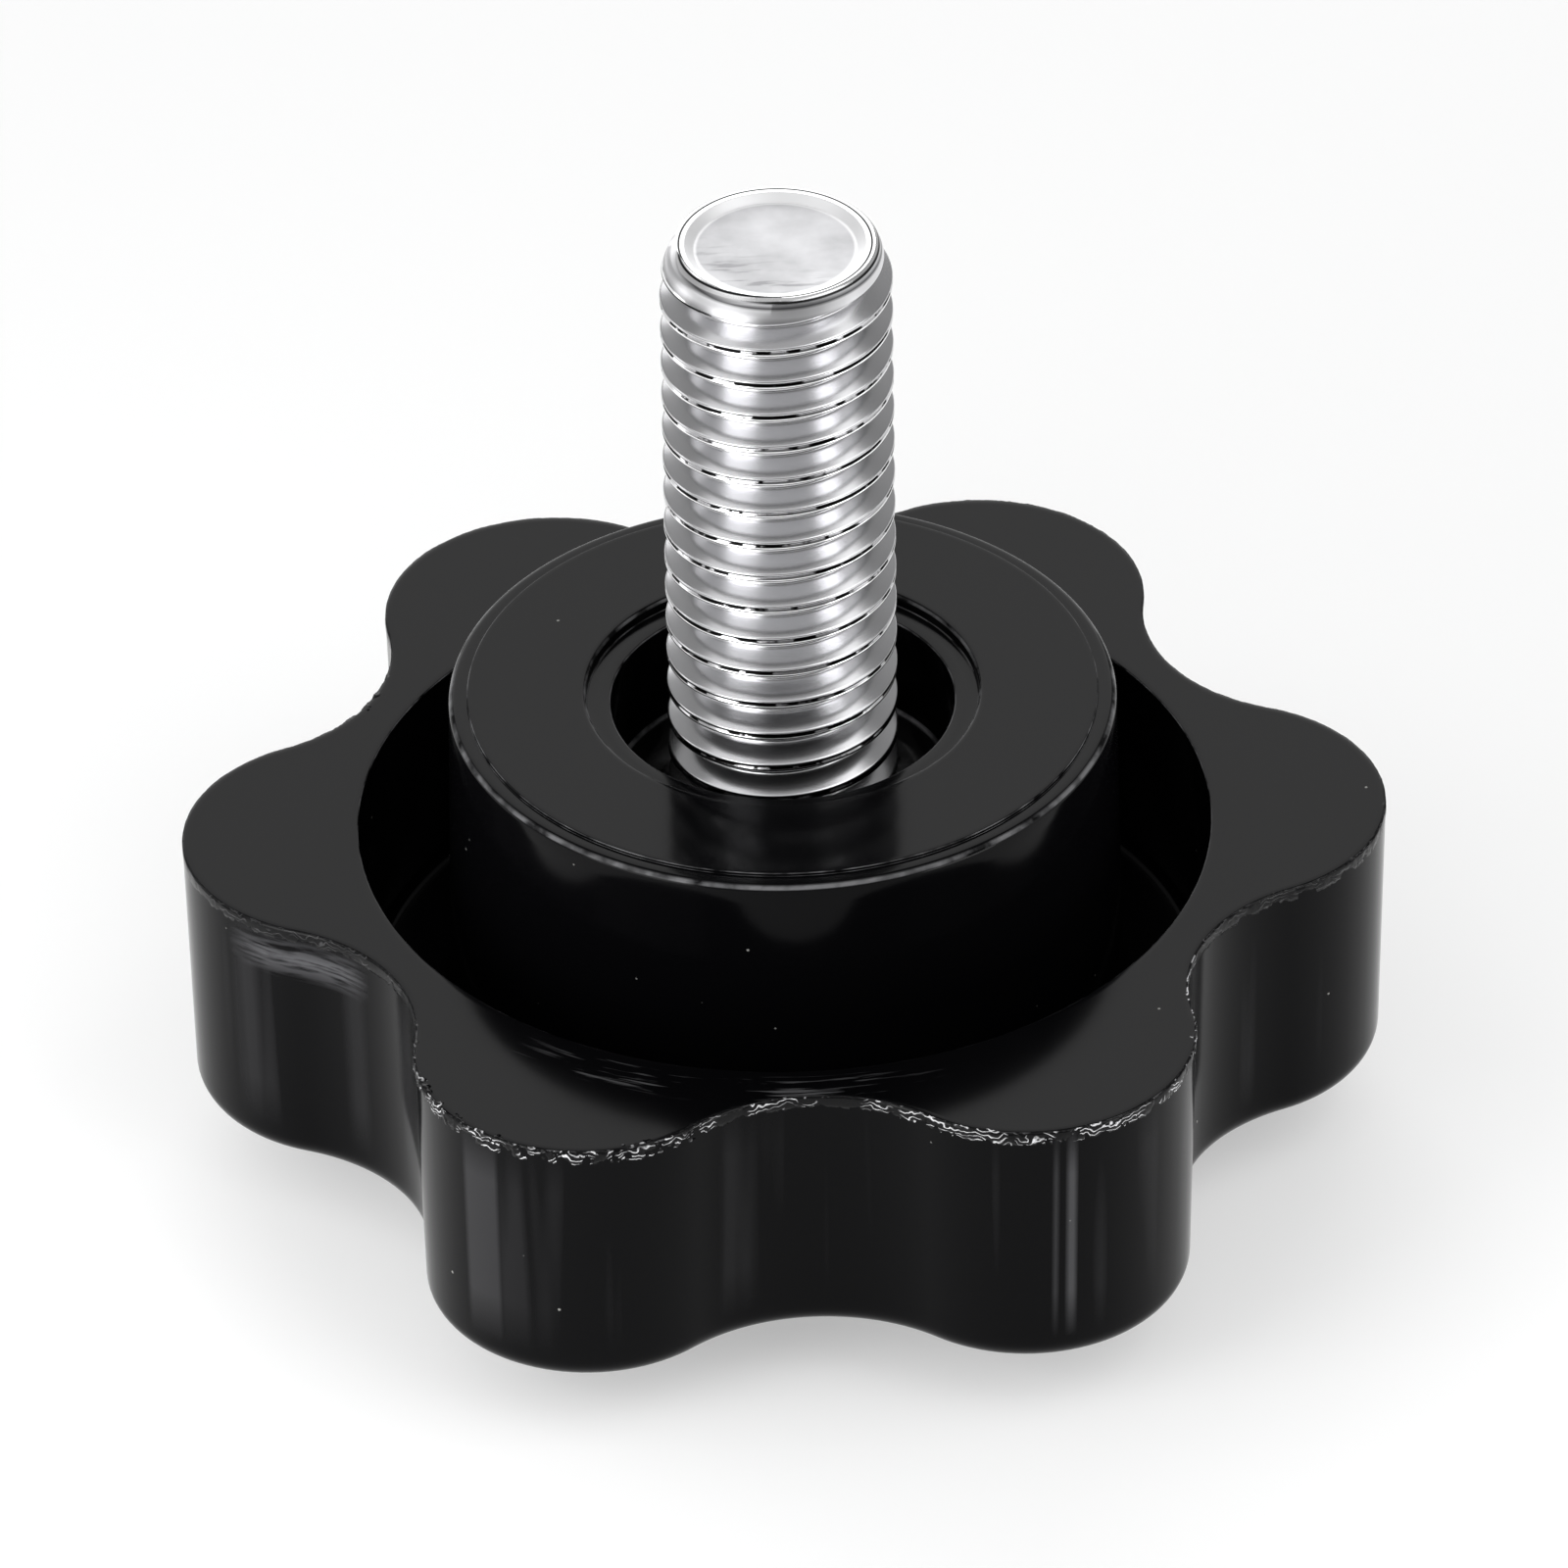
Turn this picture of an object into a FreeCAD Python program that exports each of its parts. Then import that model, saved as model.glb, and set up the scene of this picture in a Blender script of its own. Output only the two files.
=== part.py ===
import FreeCAD, Part
import math
import os

# A star knob with a threaded stud, in millimetres. It stands on its domed face with the stud up:
# the origin is the dome's lowest point, +Z runs up along the stud, and one lobe points along +X.

# Head: rounded lobes with hollows between them, widest at the rim face that the hub stands out of
head_diameter = 50.0  # over two opposite lobes
lobe_count = 6
lobe_radius = 7.0  # round end of a lobe
hollow_radius = 7.45  # round bottom of a hollow
head_height = 12.0  # side wall, from the plane round the dome to the rim face
side_draft = 1.4  # degrees that the side wall opens towards the rim face
head_edge_radius = 1.1  # rounding between the side wall and the domed face

# Low dome in the middle of the face that the hand covers
dome_diameter = 28.4
dome_height = 3.0
dome_blend_radius = 2.0  # soft corner where the dome meets the flat round it

# Ring-shaped well that keeps the moulding thin, between the lobes and the hub
rim_wall = 1.75  # thinnest wall, between the bottom of a hollow and the well
well_width = 3.9
well_depth = 9.0  # below the rim face
well_draft = 1.0  # degrees that both walls of the well lean, so that it narrows towards its floor
well_corner_radius = 0.5

# Hub: its end is the seat that bears on the clamped part
hub_stand = 6.6  # seat above the rim face
hub_edge_radius = 0.3
seat_band = 0.75  # narrow lower band round the seat
seat_step = 0.15  # height of the seat above that band

# Stepped recess round the stud
stud_gap = 2.35  # from the stud to the wall of the recess
recess_depth = 5.0  # below the seat
ledge_width = 1.0
ledge_depth = 0.5  # below the seat
lip_radius = 0.2

# Stud: a 3/8-16 hexagon screw whose head is moulded into the hub
stud_diameter = 9.525
stud_length = 22.2  # clear of the seat
stud_chamfer = 0.5
stud_chamfer_length = 0.9
end_rim = 0.55  # width of the raised rim round the dished end
end_dish = 0.3
shank_diameter = 8.5  # plain shank under the thread
shank_length = 4.5  # between the screw's head and the floor of the recess
hexagon_across_flats = 14.29
hexagon_height = 5.95

# Heights that follow from them
head_base_z = dome_height
rim_z = head_base_z + head_height
well_floor_z = rim_z - well_depth
seat_z = rim_z + hub_stand
band_z = seat_z - seat_step
recess_floor_z = seat_z - recess_depth
hexagon_top_z = recess_floor_z - shank_length
stud_end_z = seat_z + stud_length

# Radii that follow from them
lobe_centre = head_diameter / 2 - lobe_radius
half_pitch = math.pi / lobe_count
arc_reach = math.sqrt((lobe_radius + hollow_radius) ** 2 - (lobe_centre * math.sin(half_pitch)) ** 2)
hollow_centre = lobe_centre * math.cos(half_pitch) + arc_reach
well_outer_radius = hollow_centre - hollow_radius - rim_wall
hub_radius = well_outer_radius - well_width
seat_radius = hub_radius - seat_band
stud_radius = stud_diameter / 2
recess_radius = stud_radius + stud_gap
ledge_radius = recess_radius + ledge_width

UP = FreeCAD.Vector(0, 0, 1)


def on_axis(z):
    return FreeCAD.Vector(0, 0, z)


def polar(radius, angle, z):
    return FreeCAD.Vector(radius * math.cos(angle), radius * math.sin(angle), z)


def cylinder(radius, z_low, z_high):
    return Part.makeCylinder(radius, z_high - z_low, on_axis(z_low), UP)


def cone(radius_low, radius_high, z_low, z_high):
    return Part.makeCone(radius_low, radius_high, z_high - z_low, on_axis(z_low), UP)


def level_edges(solid, z):
    """Every edge of the solid that lies wholly at the height z."""
    boxes = [(edge, edge.BoundBox) for edge in solid.Edges if not edge.Degenerated]
    return [edge for edge, box in boxes if abs(box.ZMin - z) < 1e-4 and abs(box.ZMax - z) < 1e-4]


def round_level(solid, radius, z):
    return solid.makeFillet(radius, level_edges(solid, z))


def round_ring(solid, radius, ring_radius, z):
    """Rounds the circular edge of the given radius at the height z."""
    rings = [edge for edge in level_edges(solid, z) if abs(edge.BoundBox.XMax - ring_radius) < 1e-3]
    return solid.makeFillet(radius, rings)


def star_outline(inset, z):
    """The head's outline: lobe and hollow arcs that run into each other, moved in by inset."""
    edges = []
    for lobe in range(lobe_count):
        middle = 2 * half_pitch * lobe
        centre = polar(lobe_centre, middle, z)
        joins = []
        for side in (-1, 1):
            towards = polar(hollow_centre, middle + side * half_pitch, z) - centre
            joins.append(centre + towards.normalize() * (lobe_radius - inset))
        tip = polar(head_diameter / 2 - inset, middle, z)
        edges.append(Part.Arc(joins[0], tip, joins[1]).toShape())
        bottom = polar(hollow_centre - hollow_radius - inset, middle + half_pitch, z)
        turn = FreeCAD.Rotation(UP, math.degrees(2 * half_pitch))
        next_join = turn.multVec(joins[0])
        edges.append(Part.Arc(joins[1], bottom, next_join).toShape())
    return Part.Wire(edges)


def lobed_head():
    draft_inset = head_height * math.tan(math.radians(side_draft))
    outlines = [star_outline(draft_inset, head_base_z), star_outline(0, rim_z)]
    head = Part.makeLoft(outlines, True, True)
    return round_level(head, head_edge_radius, head_base_z)


def dome():
    """A cap of a large ball, up to the plane where the head starts."""
    base_radius = dome_diameter / 2
    ball_radius = (base_radius**2 + dome_height**2) / (2 * dome_height)
    ball = Part.makeSphere(ball_radius, on_axis(ball_radius))
    return ball.common(cylinder(base_radius + 1, 0, dome_height))


def well():
    lean = well_depth * math.tan(math.radians(well_draft))
    return cone(well_outer_radius - lean, well_outer_radius, well_floor_z, rim_z)


def hub():
    lean = (band_z - well_floor_z) * math.tan(math.radians(well_draft))
    post = cone(hub_radius + lean, hub_radius, well_floor_z, band_z)
    post = round_ring(post, hub_edge_radius, hub_radius, band_z)
    return post.fuse(cylinder(seat_radius, band_z, seat_z))


def recess():
    bore = cylinder(recess_radius, recess_floor_z, seat_z)
    return bore.fuse(cylinder(ledge_radius, seat_z - ledge_depth, seat_z))


def screw_head():
    corner_radius = hexagon_across_flats / 2 / math.cos(math.pi / 6)
    corners = [
        polar(corner_radius, math.pi / 3 * corner, hexagon_top_z - hexagon_height)
        for corner in range(7)
    ]
    return Part.Face(Part.makePolygon(corners)).extrude(UP * hexagon_height)


def moulded_in():
    """What the moulding closes round: the screw's head and its plain shank."""
    return screw_head().fuse(cylinder(shank_diameter / 2, hexagon_top_z, recess_floor_z))


def stud():
    """The thread is given as a cylinder of its own crest diameter."""
    chamfer_z = stud_end_z - stud_chamfer_length
    end_radius = stud_radius - stud_chamfer
    dish_radius = end_radius - end_rim
    thread = cylinder(stud_radius, recess_floor_z, chamfer_z)
    thread = thread.fuse(cone(stud_radius, end_radius, chamfer_z, stud_end_z))
    dish = cone(dish_radius - end_dish, dish_radius, stud_end_z - end_dish, stud_end_z)
    return thread.cut(dish).fuse(moulded_in()).removeSplitter()


def knob_body():
    body = lobed_head().fuse(dome()).removeSplitter()
    body = round_ring(body, dome_blend_radius, dome_diameter / 2, dome_height)
    body = body.cut(well()).fuse(hub()).removeSplitter()
    body = round_level(body, well_corner_radius, well_floor_z)
    body = body.cut(recess())
    body = round_ring(body, lip_radius, ledge_radius, seat_z)
    return body.cut(moulded_in())


os.makedirs("parts", exist_ok=True)
nodes = {"knob_body": knob_body(), "threaded_stud": stud()}
for name, shape in nodes.items():
    shape.exportStep("parts/" + name + ".step")
    box = shape.BoundBox
    print(name, "solids", len(shape.Solids), "valid", shape.isValid(), "mm3", round(shape.Volume, 1))
    print("  x", round(box.XMin, 3), round(box.XMax, 3), "y", round(box.YMin, 3), round(box.YMax, 3))
    print("  z", round(box.ZMin, 3), round(box.ZMax, 3))
print("hollow bottoms at radius", round(hollow_centre - hollow_radius, 3))
print("well outer", round(well_outer_radius, 3), "hub", round(hub_radius, 3))
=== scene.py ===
# %% [markdown]
# A star knob with a threaded stud, standing on its domed face with the stud up. The real one
# is two pieces: a black moulding that the hand turns, and a plated steel screw whose head the
# moulding closes round. The imported CAD model is loaded first, as the frame that the pieces
# are built on.

import bpy
import math
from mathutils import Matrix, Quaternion, Vector
from types import SimpleNamespace


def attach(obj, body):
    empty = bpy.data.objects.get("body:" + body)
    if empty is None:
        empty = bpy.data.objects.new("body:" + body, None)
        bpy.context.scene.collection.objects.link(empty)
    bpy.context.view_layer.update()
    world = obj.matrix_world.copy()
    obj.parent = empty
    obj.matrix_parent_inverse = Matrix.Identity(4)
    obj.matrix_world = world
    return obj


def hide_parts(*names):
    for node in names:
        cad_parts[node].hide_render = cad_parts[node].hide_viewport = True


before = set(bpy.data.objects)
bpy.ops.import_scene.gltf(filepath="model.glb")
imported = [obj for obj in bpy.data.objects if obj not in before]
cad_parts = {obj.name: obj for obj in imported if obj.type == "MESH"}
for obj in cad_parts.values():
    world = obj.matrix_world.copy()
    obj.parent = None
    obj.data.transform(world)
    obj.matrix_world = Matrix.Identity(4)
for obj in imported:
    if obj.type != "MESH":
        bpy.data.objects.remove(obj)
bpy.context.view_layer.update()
print("CAD nodes", sorted(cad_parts))

# %% [markdown]
# Blender works in metres here and a knob is drawn in millimetres, so one factor turns the
# drawing's numbers into metres. The head is drawn first: round lobes, round hollows between
# them, and a side wall that leans out by its draft up to the rim face, so that the part
# leaves its mould. Lobe and hollow touch, so the centre of a hollow follows from the two radii.

# %% The drawing of the head
MM = 0.001

LOBES = 6
HEAD_RADIUS = 25.0  # to the tips of the lobes
LOBE_RADIUS = 7.0
HOLLOW_RADIUS = 7.45
BASE_Z = 3.0  # of the flat ring round the dome
RIM_Z = 15.0  # of the rim face, which the hub stands out of
DRAFT = math.radians(1.4)

HALF_LOBE = math.pi / LOBES  # from the tip of a lobe to the bottom of a hollow
LOBE_CENTRE = HEAD_RADIUS - LOBE_RADIUS
reach = math.sqrt((LOBE_RADIUS + HOLLOW_RADIUS) ** 2 - (LOBE_CENTRE * math.sin(HALF_LOBE)) ** 2)
HOLLOW_CENTRE = LOBE_CENTRE * math.cos(HALF_LOBE) + reach
print("centres: lobes at", LOBE_CENTRE, "mm, hollows at", round(HOLLOW_CENTRE, 3), "mm")

# %% [markdown]
# The camera comes early. The photograph looks down at the knob from a little over 35 degrees
# with a long lens from 0.8 m, one lobe pointing almost straight right, and the frame turned by
# a degree. A camera looks along its own -Z, so to_track_quat turns that axis towards the aim,
# and the roll is added last.

# %% Camera
CAMERA_ELEVATION = math.radians(35.67)
CAMERA_AZIMUTH = math.radians(-92.54)
CAMERA_ROLL = math.radians(-0.93)
CAMERA_DISTANCE = 0.798
CAMERA_LENS = 441.5
AIM_Z = 16.75

back = Vector((
    math.cos(CAMERA_AZIMUTH) * math.cos(CAMERA_ELEVATION),
    math.sin(CAMERA_AZIMUTH) * math.cos(CAMERA_ELEVATION),
    math.sin(CAMERA_ELEVATION),
))
bpy.ops.object.camera_add(location=Vector((0, 0, RIM_Z * MM)) + back * CAMERA_DISTANCE)
camera = bpy.context.object
camera.name = "camera"
camera.data.sensor_width = 36
camera.data.lens = CAMERA_LENS
camera.rotation_mode = "QUATERNION"
aim = Vector((0, 0, AIM_Z * MM)) - camera.location
camera.rotation_quaternion = aim.to_track_quat("-Z", "Y") @ Quaternion((0, 0, 1), CAMERA_ROLL)
camera.data.clip_start, camera.data.clip_end = 0.01, 20
bpy.context.scene.camera = camera
print("camera at", [round(c, 4) for c in camera.location], "lens", camera.data.lens)

# %% [markdown]
# Blender's operators act on whatever is selected, and after the load the CAD nodes are.
# These helpers keep that in hand: one makes an object the only selected one, one opens
# edit mode on it with nothing selected, and one selects its corners by a rule. The knob is
# nearly round, so a rule is given as radius and height, as a turner would measure.

# %% Helpers for selecting
def only(*objects):
    """Leaves exactly these objects selected, the first of them active."""
    bpy.ops.object.select_all(action="DESELECT")
    for obj in objects:
        obj.select_set(True)
    bpy.context.view_layer.objects.active = objects[0]


def edit(obj, mode="VERT"):
    """Edit mode on this object, with nothing selected."""
    only(obj)
    bpy.ops.object.mode_set(mode="EDIT")
    bpy.ops.mesh.select_mode(type=mode)
    bpy.ops.mesh.select_all(action="DESELECT")


def done():
    bpy.ops.object.mode_set(mode="OBJECT")


def radius_and_height(place):
    """How far a place lies from the stud's axis and how high, in millimetres."""
    return math.hypot(place.x, place.y) / MM, place.z / MM


def pick(obj, rule):
    """In edit mode, selects the corners for which the rule of radius and height is true."""
    bpy.ops.mesh.select_all(action="DESELECT")
    bpy.ops.object.mode_set(mode="OBJECT")
    for corner in obj.data.vertices:
        corner.select = rule(*radius_and_height(corner.co))
    bpy.ops.object.mode_set(mode="EDIT")


print("helpers for selecting ready")

# %% [markdown]
# Two jobs come back for every piece. A modifier is added and applied at once, so that the
# finished mesh is what the file holds. And corners that lie on each other, as where a spun
# shape closes, are merged before the faces are turned outwards.

# %% Helpers for finishing a mesh
def shape_with(obj, kind, **settings):
    """Adds a modifier with these settings and applies it."""
    only(obj)
    modifier = obj.modifiers.new(kind.lower(), kind)
    for name, value in settings.items():
        setattr(modifier, name, value)
    bpy.ops.object.modifier_apply(modifier=modifier.name)


def tidy(obj, merge=1e-7):
    """Merges doubled corners and turns every face outwards."""
    edit(obj)
    bpy.ops.mesh.select_all(action="SELECT")
    bpy.ops.mesh.remove_doubles(threshold=merge)
    bpy.ops.mesh.normals_make_consistent(inside=False)
    done()


print("helpers for finishing ready")

# %% [markdown]
# Most of the knob is round about the stud's axis, so it is drawn as a turner would: half
# of the section as a line of corners, the corners rounded, and the line spun once round.
# A line starts as a plane merged to a single corner, which is then extruded from point to
# point. The rounding is a bevel of the corners alone.

# %% Drawing a section
SAME_PLACE = 1e-3  # mm
ROUNDING_STEP = math.radians(15)


def start_corner(name, place):
    """An object of one corner, at this place in millimetres."""
    bpy.ops.object.select_all(action="DESELECT")
    bpy.ops.mesh.primitive_plane_add(size=MM)
    obj = bpy.context.object
    obj.name = name
    bpy.ops.object.mode_set(mode="EDIT")
    bpy.ops.mesh.select_mode(type="VERT")
    bpy.ops.mesh.select_all(action="SELECT")
    bpy.ops.mesh.merge(type="CENTER")
    bpy.ops.transform.translate(value=Vector(place) * MM)
    return obj


def draw_section(name, points):
    """A line through points of (radius, height). Where a third number is given, the corner is
    rounded by that radius."""
    places = [Vector((point[0], 0, point[1])) for point in points]
    obj = start_corner(name, places[0])
    for here, there in zip(places, places[1:]):
        bpy.ops.mesh.extrude_vertices_move(TRANSFORM_OT_translate={"value": (there - here) * MM})
    for before, here, after, point in zip(places, places[1:], places[2:], points[1:]):
        if len(point) == 3:
            turn = (here - before).angle(after - here)
            pick(obj, lambda r, z: abs(r - here.x) < SAME_PLACE and abs(z - here.z) < SAME_PLACE)
            bpy.ops.mesh.bevel(
                offset=point[2] * math.tan(turn / 2) * MM,
                segments=max(3, round(turn / ROUNDING_STEP)),
                affect="VERTICES",
            )
    done()
    return obj


print("a square corner is rounded in", round(math.radians(90) / ROUNDING_STEP), "steps")

# %% [markdown]
# Spinning the line gives the solid of revolution. All round pieces of the moulding have the
# same number of columns as the lobed outline will have, so that they can be joined ring to
# ring. The ring where a piece will be joined is kept as a vertex group, which survives the
# joining of objects.

# %% Turning a section
COLUMNS = 408  # round the whole moulding: 34 from the tip of a lobe to the bottom of a hollow


def spin_round(obj, steps=COLUMNS):
    """Spins the drawn section once round the stud's axis."""
    edit(obj)
    bpy.ops.mesh.select_all(action="SELECT")
    bpy.ops.mesh.spin(steps=steps, angle=math.tau, center=(0, 0, 0), axis=(0, 0, 1))
    done()
    tidy(obj)


def mark_ring(obj, name, rule):
    """Keeps a ring of corners as a vertex group, and returns how many it has."""
    found = [corner.index for corner in obj.data.vertices if rule(*radius_and_height(corner.co))]
    obj.vertex_groups.new(name=name).add(found, 1.0, "ADD")
    return len(found)


print("columns round the moulding:", COLUMNS)

# %% [markdown]
# From the rim face inwards the moulding falls into the ring-shaped well, climbs the hub,
# steps up to the seat that bears on the clamped part, and steps down again into the recess
# round the stud. The well's walls lean by a degree so that the part leaves its mould. The
# section ends on the shank of the screw. Points that lie on a flat next to a corner hold
# that flat flat when the shading is smoothed.

# %% The well, the hub and the recess
WELL_FLOOR_Z = 6.0
WELL_WIDTH = 3.9
WELL_LEAN = math.radians(1.0)
WALL_AT_HOLLOWS = 1.75
BAND_Z = 21.45  # of a narrow band round the seat, a little lower than it
SEAT_Z = 21.6
LEDGE_Z = 21.1
RECESS_FLOOR_Z = 16.6
SCREW_HEAD_TOP_Z = 12.1
STUD_RADIUS = 4.7625
SHANK_RADIUS = 4.25

WELL_RADIUS = HOLLOW_CENTRE - HOLLOW_RADIUS - WALL_AT_HOLLOWS
HUB_RADIUS = WELL_RADIUS - WELL_WIDTH
SEAT_RADIUS = HUB_RADIUS - 0.75
RECESS_RADIUS = STUD_RADIUS + 2.35
LEDGE_RADIUS = RECESS_RADIUS + 1.0

well_lean = (RIM_Z - WELL_FLOOR_Z) * math.tan(WELL_LEAN)
hub_lean = (BAND_Z - WELL_FLOOR_Z) * math.tan(WELL_LEAN)
inside = draw_section("inside_of_knob", [
    (WELL_RADIUS + 0.3, RIM_Z),
    (WELL_RADIUS, RIM_Z, 0.08),
    (WELL_RADIUS - well_lean, WELL_FLOOR_Z, 0.5),
    (WELL_RADIUS - 1.1, WELL_FLOOR_Z),
    (HUB_RADIUS + 1.2, WELL_FLOOR_Z),
    (HUB_RADIUS + hub_lean, WELL_FLOOR_Z, 0.5),
    (HUB_RADIUS + 0.02, BAND_Z - 0.9),
    (HUB_RADIUS, BAND_Z, 0.3),
    (SEAT_RADIUS + 0.26, BAND_Z),
    (SEAT_RADIUS + 0.06, BAND_Z),
    (SEAT_RADIUS, BAND_Z, 0.03),
    (SEAT_RADIUS, SEAT_Z, 0.07),
    (SEAT_RADIUS - 0.24, SEAT_Z),
    (SEAT_RADIUS - 0.84, SEAT_Z),
    (LEDGE_RADIUS + 0.69, SEAT_Z),
    (LEDGE_RADIUS + 0.34, SEAT_Z),
    (LEDGE_RADIUS, SEAT_Z, 0.2),
    (LEDGE_RADIUS, LEDGE_Z, 0.08),
    (RECESS_RADIUS + 0.49, LEDGE_Z),
    (RECESS_RADIUS, LEDGE_Z, 0.1),
    (RECESS_RADIUS, RECESS_FLOOR_Z, 0.3),
    (SHANK_RADIUS, RECESS_FLOOR_Z),
    (SHANK_RADIUS, SCREW_HEAD_TOP_Z),
])
spin_round(inside)
NEAR = 0.05  # mm
at_rim = mark_ring(inside, "rim_inner", lambda r, z: r > WELL_RADIUS + 0.3 - NEAR)
at_shank = mark_ring(inside, "shank", lambda r, z: z < SCREW_HEAD_TOP_Z + NEAR and r < SHANK_RADIUS + NEAR)
print("corners of the ring at the rim face", at_rim, "and on the shank", at_shank)

# %% [markdown]
# The other side carries the low dome that the palm rests on. It is a cap of a large ball, so
# its section is a stretch of that ball's circle, and a rounding of 2 mm leads it into the
# flat ring round it.

# %% The dome
DOME_RADIUS = 14.2
CAP_STEPS = 12

ball_radius = (DOME_RADIUS**2 + BASE_Z**2) / (2 * BASE_Z)
cap_step = math.asin(DOME_RADIUS / ball_radius) / CAP_STEPS
cap = [
    (ball_radius * math.sin(cap_step * step), ball_radius * (1 - math.cos(cap_step * step)))
    for step in range(CAP_STEPS)
]
dome = draw_section("dome", cap + [
    (DOME_RADIUS, BASE_Z, 2.0),
    (DOME_RADIUS + 1.2, BASE_Z),
    (DOME_RADIUS + 3.0, BASE_Z),
])
spin_round(dome)
at_base = mark_ring(dome, "base_inner", lambda r, z: r > DOME_RADIUS + 3.0 - NEAR)
print("ball of", round(ball_radius, 2), "mm, corners of the ring round the dome", at_base)

# %% [markdown]
# The head's outline is six lobes and six hollows, arcs that run into each other. A single
# corner at a lobe's tip is spun about the centre of the lobe and then, the other way, about
# the centre of the hollow. That gives a twelfth of the outline. Its mirror image makes one
# lobe, and six copies close the ring. The same two arcs drawn with an inset give parallel
# outlines, which is how the drafted wall and its rounded edges are stacked.

# %% An outline of the head
lobe = Vector((LOBE_CENTRE, 0, 0))
hollow = Vector((math.cos(HALF_LOBE), math.sin(HALF_LOBE), 0)) * HOLLOW_CENTRE
LOBE_TURN = math.atan2(hollow.y - lobe.y, hollow.x - lobe.x)
HOLLOW_TURN = LOBE_TURN - HALF_LOBE


def all_in_group(obj, name):
    obj.vertex_groups.new(name=name).add(range(len(obj.data.vertices)), 1.0, "ADD")


def outline(name, inset, z, lobe_steps=20, hollow_steps=14):
    """The head's outline, moved inwards by the inset, at the height z."""
    ring = start_corner(name, (HEAD_RADIUS - inset, 0, z))
    level = Vector((0, 0, z * MM))
    bpy.ops.mesh.spin(steps=lobe_steps, angle=-LOBE_TURN, center=lobe * MM + level, axis=(0, 0, 1))
    bpy.ops.mesh.spin(steps=hollow_steps, angle=HOLLOW_TURN, center=hollow * MM + level, axis=(0, 0, 1))
    bpy.ops.mesh.select_all(action="SELECT")
    bpy.ops.mesh.duplicate()
    bpy.ops.transform.resize(value=(1, -1, 1), center_override=level)
    bpy.ops.mesh.select_all(action="SELECT")
    others = LOBES - 1
    bpy.ops.mesh.spin(steps=others, dupli=True, angle=others * 2 * HALF_LOBE, center=level, axis=(0, 0, 1))
    bpy.ops.mesh.select_all(action="SELECT")
    bpy.ops.mesh.remove_doubles(threshold=1e-6)
    done()
    all_in_group(ring, name)
    return ring


print("a lobe's arc turns by", round(math.degrees(LOBE_TURN), 1), "degrees to each side")

# %% [markdown]
# The side wall is a stack of such outlines. Towards the dome its edge is rounded by 1.1 mm
# and at the rim face by only 0.1 mm, as a mould leaves it where its halves meet. Both
# roundings are arcs of insets and heights, measured from the leaning wall.

# %% The stack of outlines
BASE_ROUNDING = 1.1
RIM_ROUNDING = 0.1
WALL_HEIGHTS = (4.5, 5.5, 7.0, 8.5, 10.0, 11.5, 13.0, 14.0, 14.6, 14.8)


def wall_inset(z):
    """The wall leans out by its draft, up to the full outline at the rim face."""
    return (RIM_Z - z) * math.tan(DRAFT)


def edge_steps(radius, z_centre, start, end, count):
    """Insets and heights round a rounded edge of the wall, by angle from level."""
    centre = wall_inset(z_centre) + radius / math.cos(DRAFT)
    angles = [start + (end - start) * step / count for step in range(count + 1)]
    return [(centre - radius * math.cos(a), z_centre + radius * math.sin(a)) for a in angles]


base_edge = edge_steps(BASE_ROUNDING, BASE_Z + BASE_ROUNDING, -math.pi / 2, -DRAFT, 10)
wall = [(wall_inset(z), z) for z in WALL_HEIGHTS]
rim_edge = edge_steps(RIM_ROUNDING, RIM_Z - RIM_ROUNDING, -DRAFT, math.pi / 2, 4)
levels = [(base_edge[0][0] + 0.3, BASE_Z)] + base_edge + wall + rim_edge
levels.append((rim_edge[-1][0] + 0.2, RIM_Z))
wall_names = [f"level_{index:02d}" for index in range(len(levels))]
wall_rings = [outline(name, inset, z) for name, (inset, z) in zip(wall_names, levels)]
print(len(wall_rings), "outlines of", len(wall_rings[0].data.vertices), "corners")

# %% [markdown]
# The hexagonal pocket that holds the screw's head has the same number of corners as the
# round rings, so that rings can be bridged one to one. It is a six-sided circle, each side
# subdivided 67 times.

# %% The pocket for the screw's head
SCREW_HEAD_BOTTOM_Z = 6.15
ACROSS_FLATS = 14.29


def hexagon(name, z):
    bpy.ops.object.select_all(action="DESELECT")
    radius = ACROSS_FLATS / 2 / math.cos(math.radians(30))
    bpy.ops.mesh.primitive_circle_add(vertices=6, radius=radius * MM)
    ring = bpy.context.object
    ring.name = name
    bpy.ops.object.mode_set(mode="EDIT")
    bpy.ops.transform.rotate(value=math.radians(30), orient_axis="Z", center_override=(0, 0, 0))
    bpy.ops.transform.translate(value=(0, 0, z * MM))
    bpy.ops.mesh.subdivide(number_cuts=COLUMNS // 6 - 1)
    done()
    all_in_group(ring, name)
    return ring


pocket = [hexagon("pocket_top", SCREW_HEAD_TOP_Z), hexagon("pocket_bottom", SCREW_HEAD_BOTTOM_Z)]
print("pocket corners", len(pocket[0].data.vertices))

# %% [markdown]
# Now everything is joined into one mesh and neighbouring rings are bridged, from the dome
# outwards, up the wall and over the rim face to the well, and from the shank into the
# pocket. All rings have the same number of corners, so each bridge is a clean belt of
# four-sided faces. Weighted normals then keep the large flats flat beside their small
# roundings.

# %% Bridging the moulding
def select_ring(name):
    bpy.ops.object.vertex_group_set_active(group=name)
    bpy.ops.object.vertex_group_select()


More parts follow.
